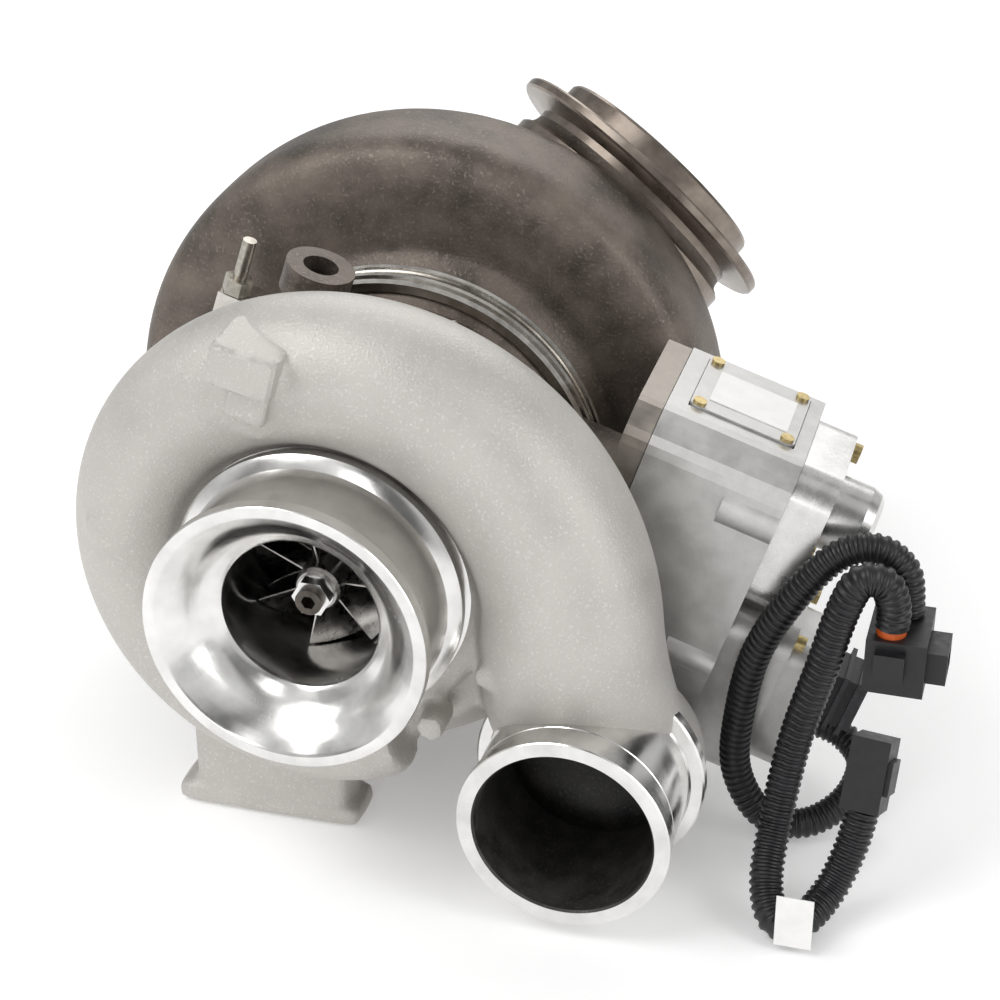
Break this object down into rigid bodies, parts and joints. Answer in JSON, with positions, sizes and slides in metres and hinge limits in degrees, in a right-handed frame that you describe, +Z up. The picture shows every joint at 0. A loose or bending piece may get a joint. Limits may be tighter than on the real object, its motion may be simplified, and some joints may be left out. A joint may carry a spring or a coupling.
{
  "type": "turbocharger",
  "caption": "Variable-geometry turbocharger with a sliding nozzle ring, an electric actuator on one side and a corrugated wiring harness.",
  "frame": {"origin": "centre of the compressor inlet's front rim", "axes": "+Y along the rotor shaft from the compressor inlet to the turbine, +Z up"},
  "size_m": [0.395, 0.3612, 0.2684],
  "materials": {
    "cast_aluminium": "sand cast, fine grain",
    "machined_aluminium": "turned",
    "turbine_iron": "rough cast, heat stained",
    "core_iron": "cast",
    "band_steel": "bright",
    "ground_steel": "ground",
    "bolt_steel": "plated",
    "screw_brass": "passivated",
    "bearing_brass": "turned",
    "turbine_alloy": "investment cast",
    "nozzle_alloy": "machined",
    "plate_aluminium": "machined plate",
    "actuator_aluminium": "die cast",
    "cap_aluminium": "bright, smooth",
    "label_white": "printed sheet, left bare",
    "board_green": "circuit board",
    "winding_copper": "motor rotor",
    "conduit_black": "split corrugated",
    "plug_black": "moulded",
    "seal_orange": "seal",
    "seal_black": "seal ring",
    "socket_grey": "moulded",
    "tag_white": "flexible tag"
  },
  "bodies": {
    "casing": {"compressor_cover": "cast_aluminium", "cover_clamps": "bolt_steel", "cover_bolts": "bolt_steel", "cover_seal": "seal_black", "backplate": "machined_aluminium", "thrust_bearing": "bearing_brass", "journal_bushes": "bearing_brass", "bush_spacer": "ground_steel", "seal_rings": "nozzle_alloy", "bearing_housing": "core_iron", "drain_bolts": "bolt_steel", "heat_shield": "nozzle_alloy", "v_band": "band_steel", "v_band_bolt": "bolt_steel", "v_band_nut": "bolt_steel", "turbine_housing": "turbine_iron", "shroud_plate": "nozzle_alloy", "shroud_clip": "band_steel", "cross_bushes": "bearing_brass", "idler_pin": "ground_steel", "motor_can": "nozzle_alloy", "gearbox_plate": "plate_aluminium", "plate_bolts": "bolt_steel", "gearbox_housing": "actuator_aluminium", "gearbox_lid": "actuator_aluminium", "lid_screws": "screw_brass", "label_plate": "label_white", "control_board": "board_green", "end_cap": "cap_aluminium", "cap_screws": "screw_brass", "motor_cap": "cap_aluminium", "lower_cover": "actuator_aluminium", "lower_screws": "screw_brass", "header_socket": "socket_grey", "main_gland": "plug_black", "main_conduit": "conduit_black", "branch_conduit": "conduit_black", "loop_plug": "plug_black", "loop_seal": "seal_orange", "end_plug": "plug_black", "tag_flag": "tag_white"},
    "rotor": {"compressor_wheel": "machined_aluminium", "wheel_nut": "bolt_steel", "shaft": "ground_steel", "thrust_collar": "ground_steel", "oil_slinger": "ground_steel", "turbine_wheel": "turbine_alloy"},
    "drive": {"yoke": "ground_steel", "cross_shaft": "ground_steel", "sector_gear": "ground_steel"},
    "nozzle": {"nozzle_ring": "nozzle_alloy", "push_rods": "ground_steel"},
    "idler": {"idler_gear": "ground_steel"},
    "motor": {"motor_rotor": "winding_copper"}
  },
  "joints": [
    {"name": "rotor_spin", "type": "hinge", "parent": "casing", "child": "rotor", "pos_m": [0, 0.12, 0], "axis": [0, 1, 0], "continuous": true},
    {"name": "drive_turn", "type": "hinge", "parent": "casing", "child": "drive", "pos_m": [0.01174, 0.136, 0.03614], "axis": [0.9511, 0, -0.309], "range_deg": [0, 15.1]},
    {"name": "nozzle_slide", "type": "slide", "parent": "casing", "child": "nozzle", "axis": [0, 1, 0], "range_m": [0, 0.01]},
    {"name": "idler_turn", "type": "hinge", "parent": "casing", "child": "idler", "pos_m": [0.11871, 0.15898, 0.02555], "axis": [0.9511, 0, -0.309], "range_deg": [-51, 0]},
    {"name": "motor_turn", "type": "hinge", "parent": "casing", "child": "motor", "pos_m": [0.1446, 0.14019, 0.02433], "axis": [0.9511, 0, -0.309], "range_deg": [0, 152]}
  ],
  "couplings": [
    {"joint": "nozzle_slide", "follows": "drive_turn", "m_per_rad": 0.03789},
    {"joint": "idler_turn", "follows": "drive_turn", "ratio": -3.3333},
    {"joint": "motor_turn", "follows": "drive_turn", "ratio": 10}
  ]
}
